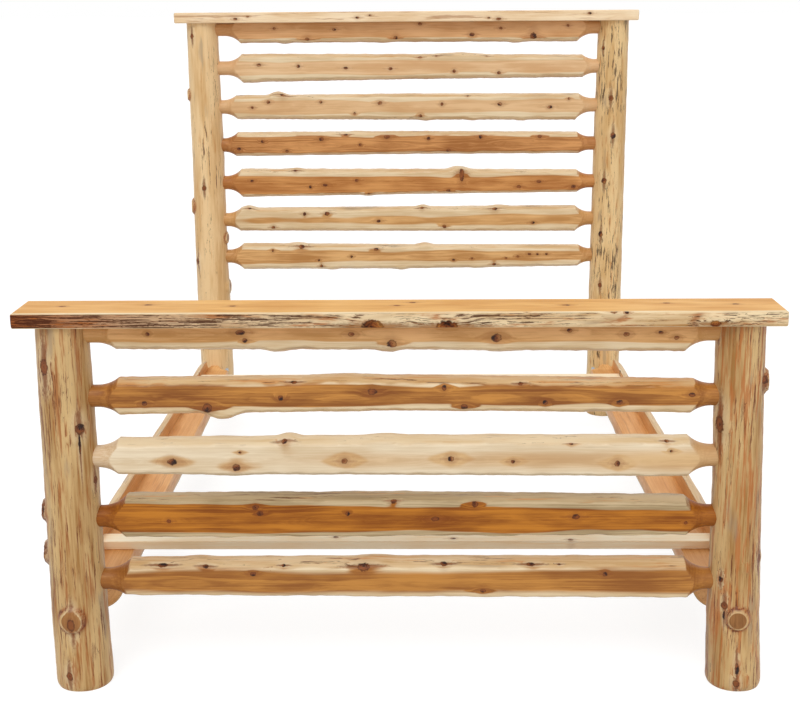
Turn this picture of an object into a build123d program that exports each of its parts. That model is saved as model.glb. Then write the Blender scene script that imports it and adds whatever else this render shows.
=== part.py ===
from build123d import *
import math
import os
from typing import NamedTuple

# Rustic log bed for a queen mattress: four peeled log posts, seven head rails and five foot
# rails sawn flat on two sides with their live edges left on, two rabbeted side logs, three
# slats and two caps. Millimetres, +Z up, the floor at Z = 0, the foot end towards -Y.
# The logs are shaped with a drawknife, which leaves long narrow flats all round them.

# ---- overall sizes -------------------------------------------------------------------------
post_spacing = 1512.0        # left post centre to right post centre, at the top of the foot end
bed_length = 2160.0          # foot post centre line to head post centre line
foot_height = 877.0          # floor to the underside of the foot cap
head_height = 1502.0         # floor to the underside of the head cap

# ---- caps ----------------------------------------------------------------------------------
cap_length = 1688.0
cap_shift = 6.5              # the caps' middle lies this far to -X of the posts' middle
foot_cap_depth = 140.0
foot_cap_thickness = 33.2
head_cap_depth = 140.0
head_cap_thickness = 37.2
cap_edge_chamfer = 3.0
live_edge_reach = 6.0        # how far the foot cap's live edge swells past its depth
front_reach = foot_cap_depth / 2 + live_edge_reach

# ---- tenons, as a radius tenon cutter leaves them ------------------------------------------
tenon_diameter = 50.8        # a standard two inch cutter
flare_radius = 76.0          # the cutter's radius from the tenon up to the log
flare_reach = 0.9            # how much of that radius the cutter's blade sweeps
flare_steps = 3              # bands that the cutter's curve is worked in
tenon_past_centre = 18.0     # the tenon ends this far past the post's centre line
tenon_clearance = 0.25       # round the tenon, in its mortise
mortise_end_gap = 1.0
top_rail_drop = 22.0         # the top rails' tenon axis below the cap that lies on them

# ---- logs ----------------------------------------------------------------------------------
log_flats = 18               # the drawknife's flats round a log
crown_flats = 4              # across a rail's live edge
stub_flats = 8               # and round a trimmed branch
stub_root = 1.15             # a branch's trimmed stub widens to this at the log, and
stub_tip = 0.62              # narrows to this at its end, as shares of its radius

# ---- rails ---------------------------------------------------------------------------------
rail_thickness = 65.0        # between the two sawn faces
bottom_rail_thickness = 76.0
live_edge_crown = 13.0       # how far a live edge is rounded over, from its sawn faces to its top
head_rail_lowest = 630.3     # axis of the lowest head rail
foot_rail_lowest = 260.0     # axis of the lowest foot rail

# ---- side rails ----------------------------------------------------------------------------
side_rail_height = 187.0     # tenon axis above the floor
ledge_rise = 23.0            # the mattress ledge above the log's axis
wall_offset = 20.0           # the upright face of the rabbet, outside the log's axis
side_shoulder_gap = 5.0      # bare tenon between the post and the start of the flare

# ---- slats ---------------------------------------------------------------------------------
slat_count = 3
slat_width = 54.0
slat_thickness = 22.0
slat_end_gap = 1.0           # between a slat's end and the wall of the rabbet
first_slat = 314.0           # middle of the first slat from the foot posts' centre line
last_slat = 1860.0
slat_edge_chamfer = 1.5

# ---- fasteners -----------------------------------------------------------------------------
dowel_diameter = 19.0
dowel_length = 50.0
dowel_outset = 38.0          # the cap dowels stand this far outside the post's centre line
dowel_clearance = 0.15
lock_screw_shank = 8.0
lock_screw_head = 16.0
lock_head_height = 5.0
lock_screw_length = 70.0
lock_screw_angle = 45.0      # between the lock screw and the side rail, seen from above
lock_spot_depth = 6.0        # the flat spot under the screw's head, below the post's skin
screw_clearance = 0.1

tenon_radius = tenon_diameter / 2
mortise_radius = tenon_radius + tenon_clearance
foot_y = -(bed_length + head_cap_depth / 2 - front_reach) / 2
head_y = foot_y + bed_length
half_spacing = post_spacing / 2


class Post(NamedTuple):
    """A peeled log that stands on the floor, and how it drifts and swells on its way up."""

    name: str
    side: int                # -1 on the left, +1 on the right
    y: float
    height: float
    drift: tuple             # the centre's X past the nominal line, floor to top, evenly spaced
    radius: tuple            # the log's radius at the same heights
    stubs: tuple             # trimmed branches: (height, angle from +X, radius, how far proud)


class Rail(NamedTuple):
    """A log sawn flat front and back, with a live edge along its top and its bottom."""

    name: str
    height: float            # of the tenon axis
    thickness: float
    bare: tuple              # bare tenon at the left and right end
    top: tuple               # how far the live edge lies above the axis, left end to right end
    top_swells: tuple        # knots along it: (place as a share of the half length, rise, half width)
    bottom: tuple            # the same below the axis
    bottom_swells: tuple


posts = (
    Post("foot_post_left", -1, foot_y, foot_height,
         (-4, -6, -5.5, -2.5, -2.5, -1),
         (66.5, 65, 63, 62, 61, 58.5),
         ((166, -94, 31, 8), (433, -178, 27, 8), (330, -176, 29, 8), (620, -70, 15, 3))),
    Post("foot_post_right", 1, foot_y, foot_height,
         (25, 16, 12, 7, 0, -4),
         (64, 60.5, 57, 55.5, 55, 54.5),
         ((170, -88, 29, 8), (740, -8, 27, 9), (308, -80, 14, 2), (27, -84, 22, 4))),
    Post("head_post_left", -1, head_y, head_height,
         (-1, 0, -2, -3, 0, -2, -3),
         (62, 62.5, 62, 60.5, 59.5, 58.5, 56.5),
         ((1242, -172, 22, 8), (826, -172, 29, 9), (703, -8, 23, 6), (512, -6, 29, 5),
          (618, -140, 16, 3))),
    Post("head_post_right", 1, head_y, head_height,
         (1, 0, -1, -1.5, -2.5, -1, -1),
         (62, 61.5, 61, 60, 59.5, 57.5, 56),
         ((1080, -84, 16, 3), (913, -100, 15, 3), (1246, -108, 14, 2), (711, -104, 14, 2))),
)

# the caps reach furthest to the left, the heel of the right foot post furthest to the right
left_reach = cap_length / 2 + cap_shift
right_reach = max(cap_length / 2 - cap_shift,
                  half_spacing + posts[1].drift[0] + posts[1].radius[0])
posts_middle = (left_reach - right_reach) / 2
caps_middle = posts_middle - cap_shift


head_top_axis = head_height - top_rail_drop
foot_top_axis = foot_height - top_rail_drop
head_rail_steps = 6
foot_rail_steps = 4


def head_rail_height(step):
    """Axis of a head rail, counted up in even steps from the lowest to the top one."""
    return head_rail_lowest + (head_top_axis - head_rail_lowest) * step / head_rail_steps


def foot_rail_height(step):
    """The same for the foot rails, which stray a little from even steps."""
    return foot_rail_lowest + (foot_top_axis - foot_rail_lowest) * step / foot_rail_steps


head_rails = (
    Rail("head_rail_1", head_rail_height(6), rail_thickness, (26, 18),
         (51, 51, 51), (),
         (51, 51, 53), ((-0.66, 4, 0.05), (-0.13, 3, 0.05), (0.58, 4, 0.06))),
    Rail("head_rail_2", head_rail_height(5), rail_thickness, (27, 7),
         (53, 48, 42), ((0.27, 6, 0.2),),
         (53, 44, 40), ((-0.85, 2, 0.1),)),
    Rail("head_rail_3", head_rail_height(4), rail_thickness, (8, 14),
         (43, 46, 43), ((-0.71, 12, 0.07),),
         (45, 51, 55), ((0.1, 4, 0.06), (0.35, 3, 0.05), (0.62, 3, 0.05))),
    Rail("head_rail_4", head_rail_height(3), rail_thickness, (2, 15),
         (48, 49, 43), ((-0.28, 2, 0.06),),
         (42, 37, 37), ()),
    Rail("head_rail_5", head_rail_height(2), rail_thickness, (7, 12),
         (53, 49, 44), ((-0.62, 4, 0.06), (0.28, 12, 0.09)),
         (55, 47, 41), ((-0.22, 4, 0.06),)),
    Rail("head_rail_6", head_rail_height(1), rail_thickness, (7, 8),
         (46, 48, 50), ((-0.88, 8, 0.06), (0.08, 7, 0.05), (0.5, 4, 0.08)),
         (42, 46, 49), ()),
    Rail("head_rail_7", head_rail_height(0), rail_thickness, (7, 2),
         (52, 44, 40), ((-0.61, 5, 0.07), (0.09, 7, 0.06)),
         (50, 50, 42), ((-0.42, 4, 0.06), (-0.04, 5, 0.06), (0.38, 3, 0.07))),
)

foot_rails = (
    Rail("foot_rail_1", foot_rail_height(4), rail_thickness, (18, 16),
         (46, 46, 46), (),
         (40, 43, 49), ((-0.4, 5, 0.07), (-0.04, 5, 0.06), (0.32, 3, 0.1))),
    Rail("foot_rail_2", foot_rail_height(3) - 1, rail_thickness, (12, 7),
         (43, 47, 36), ((-0.18, 4, 0.15),),
         (43, 35, 41), ((-0.58, 14, 0.08),)),
    Rail("foot_rail_3", foot_rail_height(2) + 4, rail_thickness, (3, 6),
         (44, 49, 48), ((-0.37, 7, 0.05), (-0.05, 3, 0.09)),
         (41, 44, 49), ((-0.56, 4, 0.1),)),
    Rail("foot_rail_4", foot_rail_height(1) + 7, rail_thickness, (5, 9),
         (54, 56, 47), (),
         (48, 45, 43), ()),
    Rail("foot_rail_5", foot_rail_height(0), bottom_rail_thickness, (8, 2),
         (50, 53, 52), ((-0.68, 3, 0.06), (-0.1, 3, 0.08)),
         (36, 41, 44), ()),
)

side_rails = (
    ("side_rail_left", -1, (75, 70, 62)),
    ("side_rail_right", 1, (68.5, 70.5, 65)),
)


def interpolated(values, share):
    """Value at a share of the way through an evenly spaced row of values."""
    place = min(max(share, 0), 1) * (len(values) - 1)
    below = min(int(place), len(values) - 2)
    return values[below] + (values[below + 1] - values[below]) * (place - below)


def post_centre_x(post, height):
    """Where a post's own centre lies at a height above the floor."""
    drift = interpolated(post.drift, height / post.height)
    return posts_middle + post.side * half_spacing + drift


def post_radius(post, height):
    return interpolated(post.radius, height / post.height)


def rails_of(post):
    return foot_rails if post.y == foot_y else head_rails


def pair_at(y):
    """The left and the right post of one end of the bed."""
    return [post for post in posts if post.y == y]


def tenon_end_x(post, height):
    """The inner end of a cross rail's tenon, past the centre of the post that holds it."""
    return post_centre_x(post, height) + post.side * tenon_past_centre


def side_rail_start(side):
    """Axis of a side rail where it meets the foot posts' and the head posts' centre lines."""
    ends = [next(p for p in pair_at(y) if p.side == side) for y in (foot_y, head_y)]
    return [Vector(post_centre_x(p, side_rail_height), p.y, side_rail_height) for p in ends]


def dowel_place(post):
    """Middle of a cap dowel, at the joint of post and cap."""
    return Vector(post_centre_x(post, post.height) + post.side * dowel_outset, post.y, post.height)


def lock_screw_plane(post):
    """Seat of a lock screw's head: on the bed's inner corner of the post, aimed at its centre."""
    inward_y = 1 if post.y == foot_y else -1
    turn = math.radians(lock_screw_angle)
    outward = Vector(-post.side * math.sin(turn), inward_y * math.cos(turn), 0)
    seat = post_radius(post, side_rail_height) - lock_spot_depth
    centre = Vector(post_centre_x(post, side_rail_height), post.y, side_rail_height)
    return Plane(origin=centre + outward * seat, z_dir=outward)


def live_edge(half, distances, swells):
    """Points of a live edge from end to end: the log's taper, and each knot's swell on it."""
    def base(share):
        return interpolated(distances, (share + 1) / 2)

    shares = {-1.3: base(-1), 1.3: base(1)}
    if all(abs(place) > width for place, rise, width in swells):
        shares[0] = base(0)
    for place, rise, width in swells:
        shares[place - width] = base(place - width)
        shares[place] = base(place) + rise
        shares[place + width] = base(place + width)
    return [(share * half, shares[share]) for share in sorted(shares)]


def live_edge_crown_points(half, distance, side):
    """Corners of a live edge's section, rounded over from one sawn face to the other."""
    radius = (half ** 2 + live_edge_crown ** 2) / (2 * live_edge_crown)
    reach = math.asin(half / radius)
    turns = [reach * (2 * step / crown_flats - 1) for step in range(crown_flats + 1)]
    return [(radius * math.sin(turn), side * (distance - radius * (1 - math.cos(turn))))
            for turn in turns]


def build_post(post):
    with BuildPart() as log:
        levels = len(post.drift)
        for level in range(levels):
            height = post.height * level / (levels - 1)
            with BuildSketch(Plane.XY.offset(height)):
                with Locations((post_centre_x(post, height), post.y)):
                    RegularPolygon(post_radius(post, height), log_flats)
        loft(ruled=True)
        # trimmed branches stand a little proud of the log
        for height, angle, radius, proud in post.stubs:
            turn = math.radians(angle)
            outward = Vector(math.cos(turn), math.sin(turn), 0)
            centre = Vector(post_centre_x(post, height), post.y, height)
            skin = post_radius(post, height)
            with BuildSketch(Plane(origin=centre + outward * skin * 0.5, z_dir=outward)):
                RegularPolygon(radius * stub_root, stub_flats)
            with BuildSketch(Plane(origin=centre + outward * (skin + proud), z_dir=outward)):
                RegularPolygon(radius * stub_tip, stub_flats)
            loft(ruled=True)
        # blind mortises for the cross rails
        for rail in rails_of(post):
            end = tenon_end_x(post, rail.height) + post.side * mortise_end_gap
            with BuildSketch(Plane(origin=(end, post.y, rail.height), z_dir=(-post.side, 0, 0))):
                Circle(mortise_radius)
            extrude(amount=post_spacing / 2, mode=Mode.SUBTRACT)
        # blind mortise for the side rail, along that rail's own axis
        start, finish = side_rail_start(post.side)
        along = (finish - start).normalized()
        if post.y == head_y:
            start, along = finish, along * -1
        blind_end = start - along * (tenon_past_centre + mortise_end_gap)
        with BuildSketch(Plane(origin=blind_end, z_dir=along)):
            Circle(mortise_radius)
        extrude(amount=bed_length / 2, mode=Mode.SUBTRACT)
        # hole for the cap dowel
        with Locations(dowel_place(post)):
            Cylinder(dowel_diameter / 2 + dowel_clearance, dowel_length + 2 * mortise_end_gap,
                     mode=Mode.SUBTRACT)
        # flat spot and clearance hole for the lock screw
        with BuildSketch(lock_screw_plane(post)):
            Circle(lock_screw_head / 2 + mortise_end_gap)
        extrude(amount=tenon_diameter, mode=Mode.SUBTRACT)
        with BuildSketch(lock_screw_plane(post)):
            Circle(lock_screw_shank / 2 + screw_clearance)
        extrude(amount=-lock_screw_length - mortise_end_gap, mode=Mode.SUBTRACT)
    log.part.label = post.name
    return log.part


def cutter_sweep(left_flare, right_flare):
    """What the radius cutter leaves about the X axis between two tenons: flare, log, flare."""
    turns = [math.acos(1 - flare_reach) * step / flare_steps for step in range(flare_steps + 1)]
    curve = [(flare_radius * math.sin(turn), tenon_radius + flare_radius * (1 - math.cos(turn)))
             for turn in turns]
    rings = [(left_flare + run, radius) for run, radius in curve]
    rings += [(right_flare - run, radius) for run, radius in reversed(curve)]
    with BuildPart() as sweep:
        for place, radius in rings:
            with BuildSketch(Plane.YZ.offset(place)):
                RegularPolygon(radius, log_flats)
        loft(ruled=True)
    return sweep.part


def build_tenons(ends, flares):
    """The round tenons about the X axis, from each end to where the flare starts."""
    with BuildPart() as tenons:
        for end, flare in zip(ends, flares):
            with BuildSketch(Plane.YZ.offset(min(end, flare))):
                Circle(tenon_radius)
            extrude(amount=abs(end - flare))
    return tenons.part


def build_cross_rail(rail, left, right):
    """A live-edge rail between two posts, about the axis that its two tenons share."""
    middle = (post_centre_x(left, rail.height) + post_centre_x(right, rail.height)) / 2
    ends = [tenon_end_x(post, rail.height) - middle for post in (left, right)]
    flares = [post_centre_x(post, rail.height) - middle
              - post.side * (post_radius(post, rail.height) + bare)
              for post, bare in zip((left, right), rail.bare)]
    half = rail.thickness / 2
    with BuildPart() as sawn:
        # flat on both faces, with a live edge above the axis and another below it
        for distances, swells, side in ((rail.top, rail.top_swells, 1),
                                        (rail.bottom, rail.bottom_swells, -1)):
            for place, distance in live_edge(flares[1], distances, swells):
                with BuildSketch(Plane.YZ.offset(place)):
                    with BuildLine():
                        crown = live_edge_crown_points(half, distance, side)
                        Polyline(*crown, (half, 0), (-half, 0), close=True)
                    make_face()
            loft(ruled=True)
        # the cutter leaves a flared round tenon on each end
        add(cutter_sweep(*flares), mode=Mode.INTERSECT)
        add(build_tenons(ends, flares))
        if rail.height + max(rail.top) > left.height:
            # the top rail is planed flat to carry the cap
            with Locations((0, 0, left.height - rail.height)):
                Box(2 * post_spacing, 2 * rail.thickness, 4 * flare_radius,
                    align=(Align.CENTER, Align.CENTER, Align.MIN), mode=Mode.SUBTRACT)
    placed = sawn.part.moved(Location((middle, left.y, rail.height)))
    placed.label = rail.name
    return placed


def build_side_rail(name, side, radii):
    """A round log with a rabbet along its inner top, which carries the slats."""
    start, finish = side_rail_start(side)
    along = (finish - start).normalized()
    length = (finish - start).length
    ends_of_bed = [next(p for p in pair_at(y) if p.side == side) for y in (foot_y, head_y)]
    foot_radius, head_radius = [post_radius(p, side_rail_height) for p in ends_of_bed]
    flares = (foot_radius + side_shoulder_gap, length - head_radius - side_shoulder_gap)
    ends = (-tenon_past_centre, length + tenon_past_centre)
    # built about the X axis, with +X towards the head and +Y towards the left of the bed
    with BuildPart() as log:
        for share, radius in zip((0, 0.5, 1), radii):
            with BuildSketch(Plane.YZ.offset(length * share)):
                RegularPolygon(radius, log_flats)
        loft(ruled=True)
        add(cutter_sweep(*flares), mode=Mode.INTERSECT)
        # the rabbet: a level ledge, and an upright wall outside it
        with Locations((flares[0], -side * wall_offset, ledge_rise)):
            Box(flares[1] - flares[0], 4 * flare_radius, 4 * flare_radius,
                align=(Align.MIN, Align.MIN if side > 0 else Align.MAX, Align.MIN),
                mode=Mode.SUBTRACT)
        add(build_tenons(ends, flares))
    turned = log.part.moved(Plane(origin=start, x_dir=along, z_dir=(0, 0, 1)).location)
    # the holes that the lock screws fill, in the tenons
    with BuildPart() as drilled:
        add(turned)
        for post in ends_of_bed:
            with BuildSketch(lock_screw_plane(post)):
                Circle(lock_screw_shank / 2 + screw_clearance)
            extrude(amount=-lock_screw_length - mortise_end_gap, mode=Mode.SUBTRACT)
    drilled.part.label = name
    return drilled.part


def wall_x(side, y):
    """Face of a side rail's rabbet wall at a place along the bed."""
    start, finish = side_rail_start(side)
    share = (y - start.Y) / (finish.Y - start.Y)
    return start.X + (finish.X - start.X) * share + side * wall_offset


def slat_places():
    """Middle of each slat along the bed, evenly spaced."""
    step = (last_slat - first_slat) / (slat_count - 1)
    return [foot_y + first_slat + step * index for index in range(slat_count)]


def slat_end_x(side, y):
    return wall_x(side, y) - side * slat_end_gap


def build_slat(name, y):
    left, right = [slat_end_x(side, y) for side in (-1, 1)]
    with BuildPart() as board:
        with BuildSketch(Plane.XY.offset(side_rail_height + ledge_rise)):
            with Locations(((left + right) / 2, y)):
                Rectangle(right - left, slat_width)
        extrude(amount=slat_thickness)
        chamfer(board.edges().filter_by(Axis.X), slat_edge_chamfer)
    board.part.label = name
    return board.part


def build_lock_screws():
    """Screws with round washer heads that lock each side rail's tenons in the posts."""
    with BuildPart() as screws:
        for post in posts:
            seat = lock_screw_plane(post)
            with BuildSketch(seat):
                Circle(lock_screw_head / 2)
            extrude(amount=lock_head_height)
            with BuildSketch(seat):
                Circle(lock_screw_shank / 2)
            extrude(amount=-lock_screw_length)
    screws.part.label = "rail_lock_screws"
    return screws.part


def build_dowels():
    """Dowels that hold the caps down, one in the top of each post."""
    with BuildPart() as dowels:
        for post in posts:
            with Locations(dowel_place(post)):
                Cylinder(dowel_diameter / 2, dowel_length)
    dowels.part.label = "cap_dowels"
    return dowels.part


def dowel_spots(y):
    """Where the dowels of one end of the bed stand, seen from above."""
    return [(dowel_place(post).X, dowel_place(post).Y) for post in pair_at(y)]


def build_head_cap():
    with BuildPart() as cap:
        with BuildSketch(Plane.XY.offset(head_height)):
            with Locations((caps_middle, head_y)):
                Rectangle(cap_length, head_cap_depth)
        extrude(amount=head_cap_thickness)
        chamfer(cap.edges(), cap_edge_chamfer)
        with BuildSketch(Plane.XY.offset(head_height)):
            with Locations(*dowel_spots(head_y)):
                Circle(dowel_diameter / 2 + dowel_clearance)
        extrude(amount=dowel_length / 2 + mortise_end_gap, mode=Mode.SUBTRACT)
    cap.part.label = "head_cap"
    return cap.part


def build_foot_cap():
    """A board with one live edge, towards the room: it waves and swells where branches were."""
    half = cap_length / 2
    front = foot_y - foot_cap_depth / 2
    back = foot_y + foot_cap_depth / 2
    waves = ((-1, 0), (-0.6, 1.5), (-0.2, 0.5), (-0.09, 6), (0.02, 1), (0.12, 5), (0.24, 0),
             (0.55, 1.5), (0.84, 4), (1, 0))
    points = [(caps_middle + share * half, front - bulge) for share, bulge in waves]
    with BuildPart() as cap:
        with BuildSketch(Plane.XY.offset(foot_height)):
            with BuildLine():
                edge = Spline(*points)
                Polyline(edge @ 0, (points[0][0], back), (points[-1][0], back), edge @ 1)
            make_face()
        extrude(amount=foot_cap_thickness)
        back_edges = cap.faces().sort_by(Axis.Y)[-1].edges()
        chamfer(back_edges, cap_edge_chamfer)
        with BuildSketch(Plane.XY.offset(foot_height)):
            with Locations(*dowel_spots(foot_y)):
                Circle(dowel_diameter / 2 + dowel_clearance)
        extrude(amount=dowel_length / 2 + mortise_end_gap, mode=Mode.SUBTRACT)
    cap.part.label = "foot_cap"
    return cap.part


def main():
    os.makedirs("parts", exist_ok=True)
    pieces = [build_post(post) for post in posts]
    for rails, y in ((head_rails, head_y), (foot_rails, foot_y)):
        pieces += [build_cross_rail(rail, *pair_at(y)) for rail in rails]
    pieces += [build_side_rail(*side_rail) for side_rail in side_rails]
    pieces += [build_slat("slat_" + str(index + 1), y) for index, y in enumerate(slat_places())]
    pieces += [build_head_cap(), build_foot_cap(), build_dowels(), build_lock_screws()]
    for piece in pieces:
        export_step(piece, "parts/" + piece.label + ".step")


main()
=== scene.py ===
import math
from typing import NamedTuple

import bpy
import numpy as np
from mathutils import Matrix, Vector


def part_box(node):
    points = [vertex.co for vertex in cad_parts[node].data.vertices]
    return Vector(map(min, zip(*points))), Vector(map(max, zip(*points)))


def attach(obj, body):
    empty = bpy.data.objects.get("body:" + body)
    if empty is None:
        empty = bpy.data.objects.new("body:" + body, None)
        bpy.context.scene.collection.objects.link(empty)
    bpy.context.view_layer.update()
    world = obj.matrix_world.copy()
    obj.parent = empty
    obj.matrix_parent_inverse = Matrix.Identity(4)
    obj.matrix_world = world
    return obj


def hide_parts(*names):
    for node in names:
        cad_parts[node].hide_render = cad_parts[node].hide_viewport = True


# Rustic log bed: every log, rail, cap and slat is meshed about its own axis, in millimetres, with
# local X along the grain, and its wood is worked out from that axis, so a knot runs in from the skin.

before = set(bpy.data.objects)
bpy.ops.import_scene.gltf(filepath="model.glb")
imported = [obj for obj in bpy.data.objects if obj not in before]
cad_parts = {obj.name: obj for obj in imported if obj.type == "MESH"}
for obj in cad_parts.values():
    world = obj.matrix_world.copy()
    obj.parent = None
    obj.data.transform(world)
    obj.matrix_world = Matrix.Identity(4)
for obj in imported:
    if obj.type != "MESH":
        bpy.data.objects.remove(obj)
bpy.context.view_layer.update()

MM = 0.001


# ---- sizes, from the frame where it has them, otherwise as the CAD model's named values ----
def corners(node):
    """Lowest and highest corner of a CAD node, in millimetres."""
    low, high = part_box(node)
    return low / MM, high / MM


post_spacing = 1512.0
cap_depth = 140.0
cap_shift = 6.5  # the caps' middle lies this far to -X of the posts' middle
tenon_radius = 25.4
flare_radius = 76.0  # of the cutter's curve, from the tenon up to the log
flare_sweep = 75.6  # how far along the log the cutter reaches
tenon_past_centre = 18.0
top_rail_drop = 22.0
crown = 13.0  # how far a live edge is rounded over
rail_thickness = 65.0
bottom_rail_thickness = 76.0
head_rail_lowest = 630.3
foot_rail_lowest = 260.0
side_rail_height = 187.0
ledge_rise = 23.0
wall_offset = 20.0
side_shoulder_gap = 5.0
screw_spot_radius = 9.0
screw_spot_depth = 6.0

head_cap_low, head_cap_high = corners("head_cap")
foot_cap_low, foot_cap_high = corners("foot_cap")
head_height = head_cap_low.z
foot_height = foot_cap_low.z
head_y = (head_cap_low.y + head_cap_high.y) / 2
foot_y = foot_cap_high.y - cap_depth / 2
caps_middle = (head_cap_low.x + head_cap_high.x) / 2
posts_middle = caps_middle + cap_shift

# how finely the meshes are cut
fine_step = 3.0
coarse_step = 8.0
post_step = 6.0
post_round = 84
face_points = 18
crown_points = 12
log_points, wall_points, ledge_points = 52, 12, 18
rim_points, flat_points = 7, 26
worn_edge = 1.6  # sawn corners are rubbed down this far

far_off = 1e3  # farther than any place on a piece
all_sap, all_heart = -30.0, 30.0  # depths inside the heartwood, in wood of one kind


# ---- knots and wood ----
class Knot(NamedTuple):
    """A branch that runs out from a log's middle."""

    along: float
    turn: float  # degrees round the log, from local +Y towards local +Z
    size: float  # its radius
    tone: float = 0.5  # 0 is pale and tight, 1 is black
    long: float = 1.0  # how much longer it is along the grain than across
    base: tuple = (0.0, 0.0)  # where the branch starts, in local Y and Z


class Look(NamedTuple):
    """Colours of one piece's wood."""

    heart: tuple  # light and dark
    sap: tuple  # light and dark
    skin: tuple  # peeled outside: light and dark
    tint: str = "#C98A4C"  # warm streaks in the skin
    tints: float = 0.3  # how much of the skin they cover
    streak: str = "#5E3719"  # inner bark left in the skin, and dark lines in the wood
    streaks: float = 0.2
    dash: float = 0.007  # 1 / the streaks' length
    thin: float = 0.13  # 1 / their width
    veins: float = 0.15  # dark lines in the sawn faces
    knot: str = "#84461F"
    blur: float = 1.2  # width of the line between heart and sapwood
    halo: float = 11.0  # how far a knot pushes the heartwood out
    swell: float = 2.0  # and how far from the knot, in its radii
    crown: float = 1.0  # how far a rail's edges are rounded over, as a share of the usual
    gloss: float = 0.3  # of the lacquer


# brown of the inner bark, also used as painted shade under the rails' lower live edges
inner_bark = "#8C4000"
weathered = "#86786A"
crack_brown = "#4A2A14"
knot_black = "#241008"
knot_rim = "#3A1D0D"


def linear(code):
    """A colour written as sRGB hex, as the linear RGBA that a shader takes."""
    values = [int(code[place:place + 2], 16) / 255 for place in (1, 3, 5)]
    return [v / 12.92 if v <= 0.04045 else ((v + 0.055) / 1.055) ** 2.4 for v in values] + [1.0]


class Value:
    """What a node gives at each point of a surface. Numbers take + - * and abs()."""

    def __init__(self, tree, socket):
        self.tree, self.socket = tree, socket

    def __add__(self, other):
        return self.tree.math("ADD", self, other)

    def __sub__(self, other):
        return self.tree.math("SUBTRACT", self, other)

    def __mul__(self, other):
        return self.tree.math("MULTIPLY", self, other)

    def __abs__(self):
        return self.tree.math("ABSOLUTE", self)


class Tree:
    """Short ways to add nodes to a material or a world."""

    def __init__(self, owner):
        owner.use_nodes = True
        self.owner = owner
        self.nodes = owner.node_tree.nodes
        self.links = owner.node_tree.links

    def put(self, value, socket):
        if isinstance(value, Value):
            self.links.new(value.socket, socket)
        else:
            socket.default_value = value

    def outputs(self, kind, inputs, **settings):
        node = self.nodes.new("ShaderNode" + kind)
        for key, value in settings.items():
            setattr(node, key, value)
        for key, value in inputs.items():
            self.put(value, node.inputs[key])
        return node.outputs

    def add(self, kind, inputs, output=0, **settings):
        return Value(self, self.outputs(kind, inputs, **settings)[output])

    def math(self, operation, a, b=0.0, clamp=False):
        return self.add("Math", {0: a, 1: b}, operation=operation, use_clamp=clamp)

    def length(self, a, b):
        return self.math("SQRT", a * a + b * b)

    def vector(self, operation, a, b):
        return self.add("VectorMath", {0: a, 1: b}, operation=operation)

    def split(self, vector):
        return [Value(self, part) for part in self.outputs("SeparateXYZ", {0: vector})]

    def attribute(self, name, output="Fac"):
        return self.add("Attribute", {}, output, attribute_name=name)

    def millimetres(self):
        """The place in the piece's own axes."""
        return self.vector("MULTIPLY", self.add("TexCoord", {}, "Object"), (1 / MM,) * 3)

    def noise(self, place, along, across, detail=3.0, roughness=0.55, output="Fac", up=None):
        """Noise whose grains are 1 / along millimetres long in X, and 1 / across in Y and Z."""
        scaled = self.vector("MULTIPLY", place, (along, across, up or across))
        inputs = {"Vector": scaled, "Scale": 1.0, "Detail": detail, "Roughness": roughness}
        return self.add("TexNoise", inputs, output)

    def step(self, value, low, high, out_low=0.0, out_high=1.0):
        """out_low below low and out_high above high, with a smooth rise between."""
        inputs = {"Value": value, "From Min": low, "From Max": high, "To Min": out_low, "To Max": out_high}
        return self.add("MapRange", inputs, interpolation_type="SMOOTHSTEP")

    def mix(self, share, a, b):
        """A colour between two. The Mix node's colours are its sockets 6 and 7, and output 2."""
        return self.add("Mix", {0: share, 6: a, 7: b}, 2, data_type="RGBA")

    def paint(self, colour, *coats):
        """Coats painted over a colour: (where it is 1, how strong it is there, its colour)."""
        for share, strength, code in coats:
            colour = self.mix(share * strength, colour, linear(code))
        return colour


def new_material(name):
    """A material's tree, and the sockets of its shader."""
    tree = Tree(bpy.data.materials.new(name))
    return tree, tree.nodes["Principled BSDF"].inputs


class KnotField(NamedTuple):
    """How far a point lies from the nearest knot, in its radii, by four measures."""

    core: Value  # nearly round
    halo: Value  # drawn out along the grain
    tail: Value  # a thin streak along the grain
    eye: Value  # pointed at both ends
    tone: Value
    tilt: Value  # above 0 on the knot's darker side


def knot_far(tree, near):
    return tree.math("SUBTRACT", 1.0, near, clamp=True) * 50.0


def nearest_knot(tree, seeded):
    """Where a point lies in the nearer knot of the two sets."""
    layers = [tree.attribute(layer, "Vector") for layer in ("knot_a", "knot_b")]
    distances = []
    for layer in layers:
        run, across, near = tree.split(layer)
        distances.append(tree.length(run, across) + knot_far(tree, near))
    picked = tree.math("LESS_THAN", *distances)
    gap = tree.vector("SUBTRACT", *layers)
    run, across, near = tree.split(tree.vector("ADD", layers[1], tree.vector("MULTIPLY", gap, picked)))
    far = knot_far(tree, near)

    def distance(squeeze, lift):
        return tree.length(run * squeeze, across * lift) + far

    uneven = (tree.noise(seeded, 0.013, 0.03, 2.0) - 0.5) * 2.4
    ragged = (tree.noise(seeded, 0.15, 0.2, 2.0) - 0.5) * 0.8
    lean_y, lean_z = tree.split(tree.noise(seeded, 0.02, 0.02, 0.0, output="Color"))[:2]
    return KnotField(
        core=distance(0.85, 1.0) + ragged,
        halo=distance(0.45, 1.0),
        tail=distance(0.22, 1.5) + ragged,
        eye=abs(run) * 0.15 + abs(across) * 0.4 + distance(0.3, 0.8) * 0.5 + uneven,
        tone=tree.math("SUBTRACT", near, 1.0, clamp=True),
        tilt=(run * (lean_y - 0.5) + across * (lean_z - 0.5)) * 3.0)


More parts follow.
